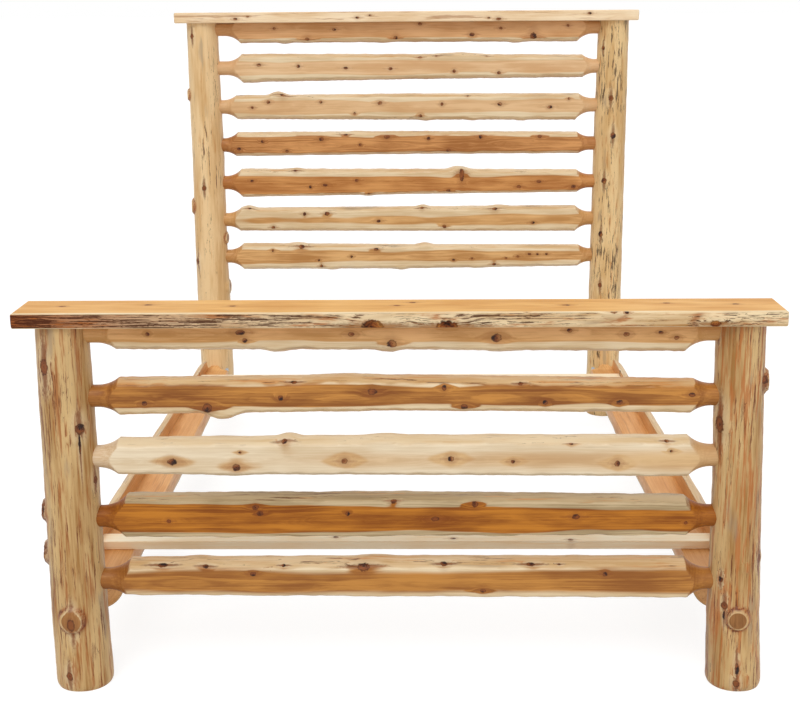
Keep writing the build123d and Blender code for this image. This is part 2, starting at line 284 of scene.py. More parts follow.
def ring_figure(tree, place, seeded, seed, knot):
    """Growth rings about a pith that wanders along the log and bends round knots, and fibres."""
    wander = tree.noise(seeded, 0.0022, 0.006, 2.0, output="Color")
    wander = tree.vector("MULTIPLY", tree.vector("SUBTRACT", wander, (0.5,) * 3), (0, 22.0, 22.0))
    y, z = tree.split(tree.vector("ADD", place, wander))[1:]
    bend = tree.step(knot.halo, 2.3, 0.6) * 5.0
    waves = tree.noise(seeded, 0.008, 0.05, 3.0) * 6.0
    radial = tree.length(y, z) + bend + waves + seed * 77.0
    inputs = {"W": radial, "Scale": 0.22, "Detail": 4.0, "Roughness": 0.7}
    bands = tree.add("TexNoise", inputs, "Fac", noise_dimensions="1D")
    fibres = tree.noise(seeded, 0.004, 0.28, 4.0, 0.6)
    hairs = tree.noise(seeded, 0.03, 1.3, 3.0, 0.6)
    drift = tree.noise(seeded, 0.005, 0.02, 2.0) - 0.5
    return bands * 0.5 + fibres * 0.32 + hairs * 0.18 + drift * 0.6, fibres


def sawn_colour(tree, look, seeded, figure, knot):
    """Heartwood inside a long wavy line that swells round each knot, sapwood outside it."""
    grain = tree.step(figure, 0.34, 0.66)
    heart, sap = [tree.mix(grain, linear(dark), linear(light)) for light, dark in (look.heart, look.sap)]
    wavy = (tree.noise(seeded, 0.004, 0.010, 2.0, 0.4) - 0.5) * 15.0
    swell = tree.step(knot.eye, look.swell, 0.2) * look.halo
    edge = tree.attribute("heart") + wavy + swell
    colour = tree.mix(tree.step(edge, -look.blur, look.blur), sap, heart)
    border = tree.step(abs(edge - look.blur), 2.2, 0.0)
    vein = tree.noise(seeded, 0.0035, 0.09, 5.0, 0.65)
    vein = tree.step(vein, 0.66 - 0.2 * look.veins, 0.74 - 0.2 * look.veins)
    # the cutter leaves the flares browner and rougher
    torn = tree.step(tree.noise(seeded, 0.02, 0.35, 4.0, 0.7), 0.35, 0.65, 0.45, 1.0)
    return tree.paint(colour, (border, 0.3 / look.blur, look.heart[1]), (vein, look.veins, look.streak),
                      (torn * tree.attribute("turned"), 0.62, look.heart[1]))


def skin_colour(tree, look, seeded, knot):
    """The peeled outside: pale round the knots, warm streaks, inner bark left in dark ones."""
    flow = tree.step(knot.halo, 2.3, 0.6) * 7.0
    flowing = tree.vector("ADD", seeded, tree.add("CombineXYZ", {1: flow, 2: flow}))
    # the bark layer holds the bark on the stubs and on the foot cap's edge, and also painted shade along the
    # rails' lower live edges
    bark = tree.attribute("bark")
    patches = tree.noise(flowing, 0.003, 0.022, 3.0, 0.6)
    colour = tree.mix(tree.step(patches, 0.36, 0.62), linear(look.skin[1]), linear(look.skin[0]))
    strands = tree.step(tree.noise(flowing, 0.004, 0.2, 4.0, 0.6), 0.40, 0.60)
    warm = tree.noise(flowing, look.dash * 0.8, 0.11, 4.0, 0.65)
    warm_low = 0.66 - 0.26 * look.tints
    grey = tree.noise(flowing, 0.006, 0.03, 3.0, 0.5) - bark * 0.3
    clusters = tree.noise(seeded, 0.0035, 0.018, 2.0) - 0.5
    dark = tree.noise(flowing, look.dash, look.thin, 5.0, 0.7) + bark * 0.09 + clusters * 0.45
    dark_low = 0.70 - 0.25 * look.streaks
    split = tree.noise(flowing, 0.0022, 0.055, 3.0, 0.5)
    crack = tree.step(abs(split - 0.5), 0.004, 0.0015) * tree.step(patches, 0.50, 0.58)
    return tree.paint(colour, (strands, 0.45, look.skin[0]), (bark, 0.95, inner_bark),
                      (tree.step(knot.halo, 2.6, 1.1), 0.6, look.sap[0]),
                      (tree.step(warm, warm_low, warm_low + 0.14), 0.75, look.tint),
                      (tree.step(grey, 0.60, 0.74), 0.45, weathered),
                      (tree.step(dark, dark_low, dark_low + 0.07), 0.9, look.streak),
                      (crack, 0.75, crack_brown)), crack


def knot_colour(tree, look, colour, knot, skin):
    """A warm surround drawn out along the grain, and a ringed knot that is darker on one side."""
    haze = skin * -0.3 + 0.42
    surround = tree.math("MAXIMUM", tree.step(knot.core, 3.0, 0.9) * haze,
                         tree.step(knot.tail, 1.3, 0.35) * 0.6)
    colour = tree.paint(colour, (tree.step(knot.tail, 1.5, 0.5) * skin, 0.6, look.streak))
    middle = tree.mix(0.55, linear(look.heart[1]), linear(look.knot))
    colour = tree.mix(surround, colour, middle)
    rings = tree.math("SINE", knot.core * 15.0) * 0.16
    shade = knot.tone + knot.tilt + rings - knot.core * 0.35
    inside = tree.mix(tree.step(shade, 0.0, 0.45), middle, linear(look.knot))
    rim = tree.step(knot.core, 0.62, 0.85) * tree.step(knot.core, 1.1, 0.9)
    inside = tree.paint(inside, (tree.step(shade, 0.25, 0.95), 1.0, knot_black), (rim, 0.6, knot_rim))
    knotted = tree.step(knot.core, 1.15, 0.85)
    return tree.mix(knotted, colour, inside), knotted, rim


def wood(name, look, seed):
    """Log wood in satin lacquer, duller in the dark grain and in the knots."""
    tree, shader = new_material(name)
    place = tree.millimetres()
    seeded = tree.vector("ADD", place, (seed * 5000.0, seed * 37.0, seed * 91.0))
    knot = nearest_knot(tree, seeded)
    figure, fibres = ring_figure(tree, place, seeded, seed, knot)
    skin = tree.attribute("skin")
    outside, crack = skin_colour(tree, look, seeded, knot)
    colour = tree.mix(skin, sawn_colour(tree, look, seeded, figure, knot), outside)
    colour, knotted, rim = knot_colour(tree, look, colour, knot, skin)
    relief = figure * 0.7 - rim * 0.25 - crack * skin + fibres * tree.attribute("turned") * 2.0
    tree.put(colour, shader["Base Color"])
    tree.put(tree.step(figure, 0.3, 0.7, 0.50, 0.40) + knotted * 0.08, shader["Roughness"])
    tree.put(tree.add("Bump", {"Strength": 0.35, "Distance": 0.0012, "Height": relief}), shader["Normal"])
    tree.put(look.gloss, shader["Specular IOR Level"])
    return tree.owner


knot_stretch = 2.6  # how much farther a knot's mark reaches along the grain than across
knot_reach = 3.6  # how far it reaches, in the knot's radii
knot_clearance = 1.0  # what it leaves free towards the next knot


def knot_layers(points, knots):
    """Where each point lies in the nearest knot of two sets: its place in that knot's radii along
    and across the grain, and 1 + the knot's tone near it, 0 far from it.

    Neighbours along the log are in different sets, so no mesh edge runs from one knot to the next."""
    ordered = sorted(knots)
    layers = []
    for members in (ordered[::2], ordered[1::2]):
        field = np.zeros_like(points)
        nearest = np.full(len(points), far_off)
        second = np.full(len(points), far_off)
        for knot in members:
            outward, across = outward_and_across(points[:, 1] - knot.base[0], points[:, 2] - knot.base[1],
                                                 knot.turn)
            across = across / knot.size
            run = (points[:, 0] - knot.along) / (knot.size * knot.long)
            distance = np.where(outward > 0, np.hypot(run / knot_stretch, across), far_off)
            closer = (distance < nearest) | ((nearest > 1e2) & (np.abs(run) > 9))
            second = np.where(closer, nearest, np.minimum(second, distance))
            nearest = np.minimum(nearest, distance)
            here = np.stack((run, across, np.full(len(run), 1 + knot.tone)), axis=1)
            field[closer] = here[closer]
        field[(nearest > knot_reach) | (second - nearest < knot_clearance), 2] = 0
        layers.append(field)
    return layers


# ---- meshes ----
def outward_and_across(y, z, angle):
    """How far places lie out along a direction round the log, and to the side of it."""
    turn = math.radians(angle)
    return y * math.cos(turn) + z * math.sin(turn), z * math.cos(turn) - y * math.sin(turn)


def smooth(low, high, value):
    """0 below low and 1 above high, with a smooth rise between; high may be the lower one."""
    share = np.clip((value - low) / (high - low), 0, 1)
    return share * share * (3 - 2 * share)


def ripple(seed, along, around, lengths, turns):
    """Smooth bumps of about -1 to 1: waves along a log, and a whole number of them round it."""
    rng = np.random.default_rng(seed)
    total = np.zeros(np.broadcast(along, around).shape)
    for length in lengths:
        for turn in turns:
            start, spin, swing = rng.uniform(0, 2 * math.pi), rng.uniform(0, 2 * math.pi), rng.uniform(0.5, 1)
            total += swing * np.sin(2 * math.pi * along / length + start) * np.cos(turn * around + spin)
    return total / math.sqrt(len(lengths) * len(turns))


def ring_piece(kind, finish, node, rings, knots, placement, look, seed, about=None, **layers):
    """A closed mesh through rings of points, standing for a CAD node.

    rings has the points' local place, about the same relative to the log's own middle. layers are
    numbers that the material reads: heart (depth inside the heartwood), skin, bark
    (bark, and painted shade under the rails' lower live edges) and turned."""
    name = "%s_%s" % (kind, node)
    about = rings if about is None else about
    stations, count = rings.shape[:2]
    index = np.arange(stations * count).reshape(stations, count)
    turned = np.roll(index, -1, axis=1)
    quads = np.stack((index[:-1], index[1:], turned[1:], turned[:-1]), axis=-1).reshape(-1, 4)
    faces = quads.tolist() + [index[0].tolist(), index[-1][::-1].tolist()]
    mesh = bpy.data.meshes.new(name)
    mesh.from_pydata((rings.reshape(-1, 3) * MM).tolist(), [], faces)
    mesh.validate()
    for label, values in zip(("knot_a", "knot_b"), knot_layers(about.reshape(-1, 3), knots)):
        mesh.attributes.new(label, "FLOAT_VECTOR", "POINT").data.foreach_set(
            "vector", values.astype(np.float32).ravel())
    for label, values in layers.items():
        mesh.attributes.new(label, "FLOAT", "POINT").data.foreach_set(
            "value", np.broadcast_to(values, rings.shape[:2]).astype(np.float32).ravel())
    mesh.materials.append(wood("%s_%s" % (finish, node), look, seed))
    soften(mesh)
    piece = new_object(name, mesh)
    piece.matrix_world = placement
    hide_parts(node)
    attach(piece, "root")
    return piece


def new_object(name, data):
    made = bpy.data.objects.new(name, data)
    bpy.context.scene.collection.objects.link(made)
    return made


def soften(mesh):
    """Smooth shading, with the sawn corners left sharp."""
    mesh.shade_smooth()
    mesh.set_sharp_from_angle(angle=math.radians(38))


def axes_at(origin, x_axis=(1, 0, 0), y_axis=(0, 1, 0), z_axis=(0, 0, 1)):
    """The matrix that puts local X, Y and Z along three directions at a place in millimetres."""
    turn = Matrix((x_axis, y_axis, z_axis)).transposed()
    return Matrix.Translation(Vector(origin) * MM) @ turn.to_4x4()


# ---- posts: the same shapes as the CAD model's ----
class Post(NamedTuple):
    """A log that stands on the floor. Turns go from the bed's right towards its head."""

    name: str
    side: int  # -1 on the left, 1 on the right, seen from the foot end
    y: float
    height: float
    drifts: tuple  # how far its middle lies to +X of its nominal line, at even heights
    radii: tuple  # at the same heights
    stubs: tuple  # trimmed branches: (height, turn, radius, how far proud)
    knots: tuple  # (height, turn, radius, tone, long)
    look: Look

    @property
    def nominal_x(self):
        return posts_middle + self.side * post_spacing / 2

    def drift(self, height):
        return np.interp(height, np.linspace(0, self.height, len(self.drifts)), self.drifts)

    def radius(self, height):
        return np.interp(height, np.linspace(0, self.height, len(self.radii)), self.radii)

    def middle(self, height):
        """The place of its own middle at a height."""
        return Vector((self.nominal_x + self.drift(height), self.y, height))


foot_post_look = Look(("#AC7A44", "#7C4E24"), ("#DCC49A", "#C29A64"), ("#CDAB76", "#9C6F37"),
                      tint="#9C5820", tints=0.6, streak="#662C0C", streaks=0.6, dash=0.008, thin=0.24)
posts = (
    Post("foot_post_left", -1, foot_y, foot_height,
         (-4, -6, -5.5, -2.5, -2.5, -1), (66.5, 65, 63, 62, 61, 58.5),
         ((182, -94, 31, 9.4), (433, -178, 27, 8), (330, -176, 29, 8), (620, -70, 15, 3)),
         ((786, -121, 12, 0.4, 1.4), (642, -52, 11, 0.8), (606, -54, 3, 1.2, 7), (512, -20, 8, 0.6),
          (438, -163, 10), (338, -163, 11), (174, -93, 9, 0.1, 1.5), (40, -107, 9)),
         foot_post_look),
    Post("foot_post_right", 1, foot_y, foot_height,
         (25, 16, 12, 7, 0, -4), (64, 60.5, 57, 55.5, 55, 54.5),
         ((184, -92, 28, 9.4), (740, -8, 27, 9), (308, -80, 14, 2), (27, -84, 22, 4)),
         ((850, -163, 7, 0.8), (644, -149, 13, 0.6, 1.3), (748, -35, 8), (324, -37, 9, 0.6),
          (276, -133, 6, 1.0), (214, -122, 8, 0.6), (190, -122, 3, 1.2, 3), (24, -96, 8, 0.4),
          (60, -94, 5, 0.9, 2.5)),
         foot_post_look._replace(tint="#AE6226", tints=0.72, streaks=0.5)),
    Post("head_post_left", -1, head_y, head_height,
         (-1, 0, -2, -3, 0, -2, -3), (62, 62.5, 62, 60.5, 59.5, 58.5, 56.5),
         ((1242, -172, 22, 8), (826, -172, 29, 9), (703, -8, 23, 6), (512, -6, 29, 5),
          (618, -140, 16, 3)),
         ((1456, -123, 8, 0.4), (900, -100, 9), (618, -140, 10), (518, -5, 9, 0.4)),
         Look(("#B88A52", "#8A5C30"), ("#EDD2A6", "#D8B280"), ("#E6C594", "#CDA36C"),
              tint="#C48A4E", streaks=0.25, dash=0.010)),
    Post("head_post_right", 1, head_y, head_height,
         (1, 0, -1, -1.5, -2.5, -1, -1), (62, 61.5, 61, 60, 59.5, 57.5, 56),
         ((1080, -84, 16, 3), (913, -100, 15, 3), (1246, -108, 14, 2), (711, -104, 14, 2)),
         ((1404, -134, 7, 0.6), (1224, -98, 9, 0.6), (1088, -86, 10, 0.8), (920, -112, 10, 0.6),
          (718, -119, 9, 0.6), (522, -116, 8, 0.6)),
         Look(("#D3A468", "#A87740"), ("#E8CC9C", "#CFA873"), ("#E2C18C", "#C0945A"),
              tint="#B5763A", tints=0.45, streak="#4E3A26", streaks=0.47, dash=0.015)),
)
heel_height, heel_round = 9.0, 3.5
proud_stub = 6.0  # stubs that stand out more than this show sawn wood inside bark
hole_tone = 0.9  # knots as dark as this are holes
knot_collar, hole_collar = 1.5, 3.0
knot_depth, hole_depth = 0.8, 5.0


def build_post(post, seed):
    heights = np.linspace(0, post.height, round(post.height / post_step) + 1)[:, None]
    around = np.linspace(0, 2 * math.pi, post_round, endpoint=False)[None, :]
    radius = post.radius(heights) + 0 * around
    radius += 0.9 * ripple(seed, heights, around, (610, 340, 170, 90), (1, 2, 3, 5))
    radius += 0.35 * ripple(seed + 50, heights, around, (60, 41, 33), (7, 11, 16))
    radius -= heel_round * smooth(heel_height, 0.0, heights)
    y, z = radius * np.cos(around), radius * np.sin(around)
    layers = carve_stubs(post, heights, y, z)
    knots = carve_knots(post, heights, y, z)
    about = np.stack((heights + 0 * y, y, z), axis=-1)
    rings = np.stack((heights + 0 * y, y + post.drift(heights), z), axis=-1)
    placement = axes_at((post.nominal_x, post.y, 0), (0, 0, 1), (1, 0, 0), (0, 1, 0))
    piece = ring_piece("log", "peeled", post.name, rings, knots, placement, post.look, seed, about,
                       **layers)
    cut_screw_seat(piece, post)
    return piece


def carve_stubs(post, heights, y, z):
    """Raises the trimmed branches. The layers show the sawn ends of the proud ones, and their bark."""
    skin, bark, heart = np.ones(y.shape), np.zeros(y.shape), np.full(y.shape, all_sap)
    for height, angle, size, proud in post.stubs:
        raise_skin(y, z, heights - height, angle, size, post.radius(height) + proud, 1.08, 0.84)
        if proud >= proud_stub:
            outward, across = outward_and_across(y, z, angle)
            reach = np.where(outward > 0, np.hypot(heights - height, across), far_off)
            bark = np.maximum(bark, np.exp(-((reach / size - 1.0) / 0.13) ** 2))
            skin *= smooth(0.78 * size, 0.90 * size, reach)
            heart = np.maximum(heart, 0.70 * size - reach)
    return {"heart": heart, "skin": skin, "bark": bark}


def carve_knots(post, heights, y, z):
    """Low collars with the knots sunk in them."""
    knots = [Knot(*knot) for knot in post.knots]
    for knot in knots:
        collar = knot_collar if knot.tone < hole_tone else hole_collar
        raise_skin(y, z, heights - knot.along, knot.turn, knot.size,
                   post.radius(knot.along) + collar, 2.8, 1.2)
        sink_knot(y, z, heights - knot.along, knot)
    return knots


def move_out(y, z, distance, angle):
    turn = math.radians(angle)
    y += distance * math.cos(turn)
    z += distance * math.sin(turn)


def raise_skin(y, z, along, angle, size, target, foot, brow):
    """Lifts the skin to a trimmed branch's nearly flat face, from foot to brow times its size."""
    outward, across = outward_and_across(y, z, angle)
    reach = np.hypot(along, across)
    lift = smooth(foot * size, brow * size, reach)
    move_out(y, z, np.where(outward > 0, lift * np.maximum(target - 0.03 * reach - outward, 0), 0), angle)


def sink_knot(y, z, along, knot):
    """Knots shrink below the skin; the black ones are holes."""
    outward, across = outward_and_across(y, z, knot.turn)
    depth = knot_depth if knot.tone < hole_tone else hole_depth
    inside = smooth(1.1 * knot.size, 0.6 * knot.size, np.hypot(along, across))
    move_out(y, z, np.where(outward > 0, -depth * inside, 0), knot.turn)


def cut_screw_seat(piece, post):
    """The round flat spot that a lock screw's head sits in, on the bed's inner corner."""
    outward = Vector((-post.side, 1 if post.y == foot_y else -1, 0)).normalized()
    seat_radius = post.radius(side_rail_height) - screw_spot_depth
    seat = post.middle(side_rail_height) + outward * seat_radius
    depth = 30.0
    bpy.ops.mesh.primitive_cylinder_add(
        vertices=48, radius=screw_spot_radius * MM, depth=depth * MM,
        location=(seat + outward * depth / 2) * MM, rotation=outward.to_track_quat("Z", "Y").to_euler())
    cutter = bpy.context.object
    cut = piece.modifiers.new("screw_seat", "BOOLEAN")
    cut.operation, cut.solver, cut.object = "DIFFERENCE", "EXACT", cutter
    mesh = bpy.data.meshes.new_from_object(piece.evaluated_get(bpy.context.evaluated_depsgraph_get()))
    piece.modifiers.clear()
    piece.data = mesh
    soften(mesh)
    bpy.data.objects.remove(cutter)


# ---- cross rails ----
class Rail(NamedTuple):
    """A sawn log between two posts. Widths and edges are given at its left end, middle and right
    end, and a swell is (place from -1 to 1, rise, half its width)."""

    bare: tuple  # length of round tenon that shows, left and right
    top: tuple  # how far the upper edge lies above the axis
    bottom: tuple  # and the lower edge below it
    heart: tuple  # (lowest, highest) edge of the heartwood at the left and right end
    look: Look
    knots: tuple  # (place along the rail, height on its front face, radius, tone, long)
    top_swells: tuple = ()
    bottom_swells: tuple = ()
    lift: float = 0.0  # above its even place among the rails
    thickness: float = rail_thickness


def rail_look(heart, sap=("#E3CEAA", "#CDAF84"), skin=("#E6CEA8", "#CCA878"), **more):
    return Look(heart, sap, skin, **more)


# from the top one down
head_rails = (
    Rail((26, 18), (51, 51, 51), (51, 51, 53), ((-34, 60), (-36, 60)), rail_look(("#DDAB78", "#C18A54")),
         ((-490, 1), (-270, -4), (-370, -41, 9), (-45, -37, 9), (45, 14, 7, 0.5), (235, -25),
          (340, -3, 7, 0.5), (460, -35, 14), (585, 5)),
         bottom_swells=((-0.66, 4, 0.05), (-0.13, 3, 0.05), (0.58, 4, 0.06))),
    Rail((27, 7), (53, 48, 42), (53, 44, 40), ((-24, 26), (-22, 22)), rail_look(("#E2BE92", "#CFA272")),
         ((-550, 12, 8, 0.5), (-405, 7), (-230, -1), (-65, -4), (45, 42, 8, 0.5), (170, -14),
          (335, -21), (105, 55, 7, 0.5), (290, 53, 7, 0.5)),
         top_swells=((0.27, 6, 0.2),), bottom_swells=((-0.85, 2, 0.1),)),
    Rail((8, 14), (43, 46, 43), (45, 51, 55), ((-24, 22), (-24, 20)), rail_look(("#DFB98B", "#CA9D6C")),
         ((-580, -1, 7, 0.5), (-520, 19, 8, 0.5), (-325, 18, 8, 0.5), (-105, 13), (-200, -25, 7, 0.5),
          (45, -36, 8, 0.5), (125, 8), (340, 7), (525, -5), (595, 25, 7, 0.5), (-465, 57, 10, 0.5),
          (220, 47, 7, 0.5)),
         top_swells=((-0.71, 12, 0.07),), bottom_swells=((0.1, 4, 0.06), (0.35, 3, 0.05), (0.62, 3, 0.05))),
    Rail((2, 15), (48, 49, 43), (42, 37, 37), ((-30, 34), (-28, 30)), rail_look(("#D0955A", "#9E6430")),
         ((-545, 15, 9, 0.7), (-325, 23, 8, 0.7), (-80, 31, 9, 0.7), (-455, -21, 7), (-180, 2, 8, 0.7),
          (-635, -12, 8, 0.7), (75, 23, 9, 0.7), (270, 29, 8, 0.7), (490, 30, 9, 0.7),
          (150, -22, 8, 0.7), (-235, 45, 7)),
         top_swells=((-0.28, 2, 0.06),)),
    Rail((7, 12), (53, 49, 44), (55, 47, 41), ((-40, 26), (-30, 22)), rail_look(("#D69A5A", "#A4662E")),
         ((-590, 9, 8, 0.7), (-370, -14, 8, 0.7), (-195, 9, 8, 0.7), (-315, -7, 7),
          (200, 31, 36, 0.6, 0.35), (490, 2, 8, 0.7), (620, -18), (415, -17, 7), (-150, -46, 7),
          (150, -32), (-425, 59)),
         top_swells=((-0.62, 4, 0.06), (0.28, 12, 0.09)), bottom_swells=((-0.22, 4, 0.06),)),
    Rail((7, 8), (46, 48, 50), (42, 46, 49), ((-8, 8), (-18, 20)),
         rail_look(("#DDAE74", "#B58248"), halo=6.0),
         ((-395, 25, 8, 0.7), (-310, 26), (-515, -26, 7, 0.5), (-115, -3, 8, 0.7), (325, 48, 9),
          (135, -25), (470, -12, 8, 0.7), (-605, 62), (50, 59)),
         top_swells=((-0.88, 8, 0.06), (0.08, 7, 0.05), (0.5, 4, 0.08))),
    Rail((7, 2), (52, 44, 40), (50, 50, 42), ((-25, 28), (-12, 18)),
         rail_look(("#DBAC72", "#B07C44"), halo=6.0),
         ((-520, 27, 7), (-410, 48, 13), (-335, -36, 8, 0.7), (-125, 31, 8, 0.7), (-220, 2, 7, 0.7),
          (-345, -11, 7, 0.7), (170, -13, 7, 0.8), (240, -7, 7, 0.7), (325, -31, 8, 0.7), (370, -6, 6),
          (415, 0, 6), (460, 9, 6), (490, 9, 6), (525, 9, 6)),
         top_swells=((-0.61, 5, 0.07), (0.09, 7, 0.06)),
         bottom_swells=((-0.42, 4, 0.06), (-0.04, 5, 0.06), (0.38, 3, 0.07))),
)
foot_rails = (
    Rail((18, 16), (46, 46, 46), (40, 43, 49), ((-16, 60), (-20, 60)), rail_look(("#E4B278", "#C08C50")),
         ((-560, 1, 7), (-355, 4), (-345, -14, 7), (-110, -1), (-20, -23, 13), (210, -10, 12, 0.5),
          (370, 6, 7, 0.5), (495, -3, 7), (570, 1, 6), (605, -11, 6)),
         bottom_swells=((-0.4, 5, 0.07), (-0.04, 5, 0.06), (0.32, 3, 0.1))),
    # the heartwood's lower edge sits high, so a wide pale sapwood band runs along the bottom: partly the
    # wood's own sapwood, partly painted light on the shaded underside
    Rail((12, 7), (43, 47, 36), (43, 35, 41), ((-16, 31), (-16, 29)),
         rail_look(("#C5873E", "#844C1A"), skin=("#DABC8E", "#BE9058"), streaks=0.35, tints=0.6),
         ((-575, -9, 8, 0.7), (-435, -20, 15, 0.9), (-270, 3, 10, 0.8), (-65, 17, 9, 0.7), (95, 26),
          (140, -19), (265, 40, 7), (320, -9, 8, 0.7), (485, -9, 9, 0.7), (645, 8, 7), (-240, 50)),
         top_swells=((-0.18, 4, 0.15),), bottom_swells=((-0.58, 14, 0.08),), lift=-1),
    Rail((3, 6), (44, 49, 48), (41, 44, 49), ((17, -17), (-24, 24)),
         rail_look(("#D8B483", "#C09564"), ("#E9D8BB", "#D6BE9A"), ("#E4D0AC", "#D6B98C"), tints=0.15,
                   blur=8.0, halo=24.0, swell=3.0),
         ((-520, -3, 11, 0.7), (-375, -17, 12, 0.7), (-130, -2, 10), (-265, 55, 10), (-365, 19, 4),
          (110, 3, 10, 0.7), (250, -4, 6, 0.7), (485, -9, 11, 0.7), (380, 41, 4), (595, 59, 9),
          (605, 20, 4)),
         top_swells=((-0.37, 7, 0.05), (-0.05, 3, 0.09)), bottom_swells=((-0.56, 4, 0.1),), lift=4),
    Rail((5, 9), (54, 56, 47), (48, 45, 43), ((-28, 44), (-26, 25)),
         rail_look(("#BE7826", "#80430E"), ("#C6AF8A", "#9E8762"), ("#C2AA84", "#9C8560"), streaks=0.4,
                   crown=0.65, gloss=0.2),
         ((-535, -1, 8, 0.7), (-325, 18, 8, 0.7), (-125, 17, 8, 0.7), (-335, 32, 7), (-20, 50),
          (75, 4, 8, 0.7), (165, 40, 7, 0.7), (395, 9, 10, 0.8), (645, -6, 7)),
         lift=7),
    Rail((8, 2), (50, 53, 52), (36, 41, 44), ((-18, 33), (-21, 33)),
         rail_look(("#C0843C", "#8A521E"), skin=("#DEC298", "#C49C68"), streaks=0.4, tints=0.5, blur=3.5),
         ((-555, 64, 10, 1.0), (-455, 53, 9, 1.0), (-275, 60, 7, 0.9), (-90, 49, 14, 0.9),
          (95, 69, 10, 1.0), (295, 65, 10, 1.0), (360, 67, 5, 0.8), (-345, 27, 7), (465, 26, 8, 0.7),
          (185, -15, 7)),
         top_swells=((-0.68, 3, 0.06), (-0.1, 3, 0.08)), thickness=bottom_rail_thickness),
)
knot_share = 0.66  # a rail's knots, as a share of the radii above, which take in their surround
knot_longs = (0.8, 1.5)  # and how long they may be along the grain


def live_edge(places, half_length, distances, swells):
    """How far a live edge lies from the axis, with a smooth swell at each branch."""
    share = places / half_length
    edge = np.interp(share, (-1, 0, 1), distances)
    for place, rise, width in swells:
        near = np.clip(np.abs(share - place) / width, 0, 1)
        edge = edge + rise * (0.5 + 0.5 * np.cos(math.pi * near))
    return edge


def flare(places, flares):
    """The radius that the cutter leaves at each place: tenon, curve, and out past the log."""
    into = np.minimum(places - flares[0], flares[1] - places)
    reach = np.clip(into, 0, flare_sweep)
    curve = tenon_radius + flare_radius - np.sqrt(flare_radius ** 2 - reach ** 2)
    return np.where(into > flare_sweep, far_off, curve)


def rail_stations(ends, flares):
    """Places of the rings: close together along the cutter's curve, wider between."""
    left = np.arange(flares[0], flares[0] + flare_sweep + fine_step, fine_step)
    right = (flares[0] + flares[1] - left)[::-1]
    count = round((right[0] - left[-1]) / coarse_step) + 1
    middle = np.linspace(left[-1], right[0], count)[1:-1]
    return np.concatenate(([ends[0]], left, middle, right, [ends[1]]))


def rail_span(rail, height, pair):
    """A rail's middle, and from it the ends of its tenons and the starts of its flares."""
    centres = [post.nominal_x + post.drift(height) for post in pair]
    middle = sum(centres) / 2
    ends = [centre - middle + post.side * tenon_past_centre for post, centre in zip(pair, centres)]
    flares = [centre - middle - post.side * (post.radius(height) + bare)
              for post, centre, bare in zip(pair, centres, rail.bare)]
    return middle, ends, flares


def ring_sides(half, low, high, drop_low, drop_high):
    """Y and Z of a sawn log's section at each station: front face, top, back face, bottom.

    Also how far each point is from the sawn faces: 0 on them, up to 1 on the top, -1 below."""
    high_corner = high - drop_high
    low_corner = low + drop_low
    up = np.linspace(0, 1, face_points)
    over = np.linspace(-1, 1, crown_points)
    face = low_corner + worn_edge + (high_corner - low_corner - 2 * worn_edge) * up
    top = high - drop_high * over ** 2
    bottom = low + drop_low * over ** 2
    front_y = np.full((len(high), face_points), -half)
    across = np.broadcast_to((half - worn_edge * 0.5) * over, (len(high), crown_points))
    y = np.concatenate((front_y, across, -front_y, -across), axis=1)
    z = np.concatenate((face, top, face[:, ::-1], bottom[:, ::-1]), axis=1)
    flat, round_over = np.zeros(face_points), 1.01 - over ** 2
    return y, z, np.concatenate((flat, round_over, flat, -round_over))


def rail_section(rail, x, half_length, room, seed):
    """The sawn log's section at each station. A rail that would rise past its room is planed flat."""
    high = live_edge(x, half_length, rail.top, rail.top_swells)
    low = -live_edge(x, half_length, rail.bottom, rail.bottom_swells)
    high = high + 0.9 * ripple(seed, x, 0, (230, 120, 70), (0,))
    low = low + 0.9 * ripple(seed + 1, x, 0, (250, 130, 80), (0,))
    drops = [crown * rail.look.crown + 2.6 * ripple(seed + n, x, 0, (310, 150, 90, 55), (0,)) for n in (2, 3)]
    planed = max(rail.top) > room
    if planed:
        high, drops[1] = np.full(x.shape, room), np.full(x.shape, 0.3)
    y, z, crowned = ring_sides(rail.thickness / 2, low, high, *drops)
    if planed:
        crowned = np.minimum(crowned, 0)
    dents = ripple(seed + 4, x, 3 * np.arctan2(z, y), (45, 31, 24), (1, 2))
    return y, z + 0.6 * crowned * dents, crowned


def rail_heart(rail, share, y, z):
    """Depth inside the heartwood, which is round and meets the sawn faces at its two edges."""
    lowest, highest = [left + (right - left) * share for left, right in zip(*rail.heart)]
    half, width = rail.thickness / 2, (highest - lowest) / 2
    reach = np.where(width > 0, np.hypot(half, width), half + width)
    return np.maximum(reach - np.hypot(y, z - (lowest + highest) / 2), -20)


def face_knot(rng, half, shift, place, rise, size=8, tone=0.6, long=None):
    """A knot on a rail's front face, a little larger or smaller and darker or paler by chance."""
    size = knot_share * size * rng.uniform(0.85, 1.15)
    tone = tone + rng.uniform(-0.25, 0.15)
    return Knot(place - shift, math.degrees(math.atan2(rise, -half)), size, tone,
                long or rng.uniform(*knot_longs))


def stray_knots(rng, flares, half):
    """Branches on the side that faces away from the room, one every 150 to 250 mm."""
    knots = []
    along = flares[0] + rng.uniform(60, 160)
    while along < flares[1] - 60:
        rise = rng.uniform(-32, 32)
        knots.append(Knot(along, math.degrees(math.atan2(rise, half)), rng.uniform(4, 7),
                          rng.uniform(0.3, 0.8), rng.uniform(*knot_longs)))
        along += rng.uniform(150, 250)
    return knots


